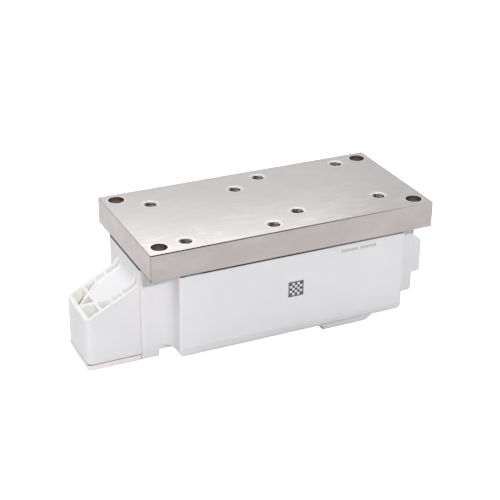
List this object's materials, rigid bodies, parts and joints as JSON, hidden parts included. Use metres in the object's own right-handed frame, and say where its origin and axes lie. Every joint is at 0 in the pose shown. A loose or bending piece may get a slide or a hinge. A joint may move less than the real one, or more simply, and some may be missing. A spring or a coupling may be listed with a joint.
{
  "type": "thyristor module",
  "caption": "Pressure-contact thyristor module: thick plated base plate on a white moulded housing with a ribbed terminal tower, bar terminals and push-on control tabs.",
  "frame": {"origin": "centre of the base plate's mounting face", "axes": "+X along the length, away from the terminal tower; +Y across the width; +Z out of the mounting face, which looks up as in the picture"},
  "size_m": [0.1496, 0.06, 0.0525],
  "materials": {
    "plated_copper": "nickel plated, finely ground, with light marks",
    "white_plastic": "moulded, semi-matt",
    "sealant": "cured sealant",
    "tinned_copper": "tinned, satin, with copper showing through faintly",
    "zinc_steel": "zinc plated",
    "tinned_brass": "tinned",
    "ceramic": "ground",
    "silicon": "lapped",
    "ring_plastic": "moulded",
    "cup_plastic": "moulded",
    "spring_steel": "oiled",
    "clamp_steel": "bare",
    "white_lead": "insulated",
    "red_lead": "insulated",
    "ink": "printed"
  },
  "bodies": {
    "root": {"base_plate": "plated_copper", "housing": "white_plastic", "seal_bead": "sealant", "common_bar": "tinned_copper", "cathode_bar": "tinned_copper", "anode_bar": "tinned_copper", "terminal_nuts": "zinc_steel", "clamp_screws": "zinc_steel", "control_tabs": "tinned_brass", "ceramic_disc_1": "ceramic", "ceramic_disc_2": "ceramic", "thyristor_cell_1": "silicon", "thyristor_cell_2": "silicon", "centring_ring_1": "ring_plastic", "centring_ring_2": "ring_plastic", "pressure_cup_1": "cup_plastic", "pressure_cup_2": "cup_plastic", "spring_pair_1": "spring_steel", "spring_pair_2": "spring_steel", "clamp_plate_1": "clamp_steel", "clamp_plate_2": "clamp_steel", "gate_pin_1": "tinned_brass", "gate_pin_2": "tinned_brass", "gate_lead_1": "white_lead", "gate_lead_2": "white_lead", "cathode_lead_1": "red_lead", "cathode_lead_2": "red_lead"}
  },
  "joints": []
}
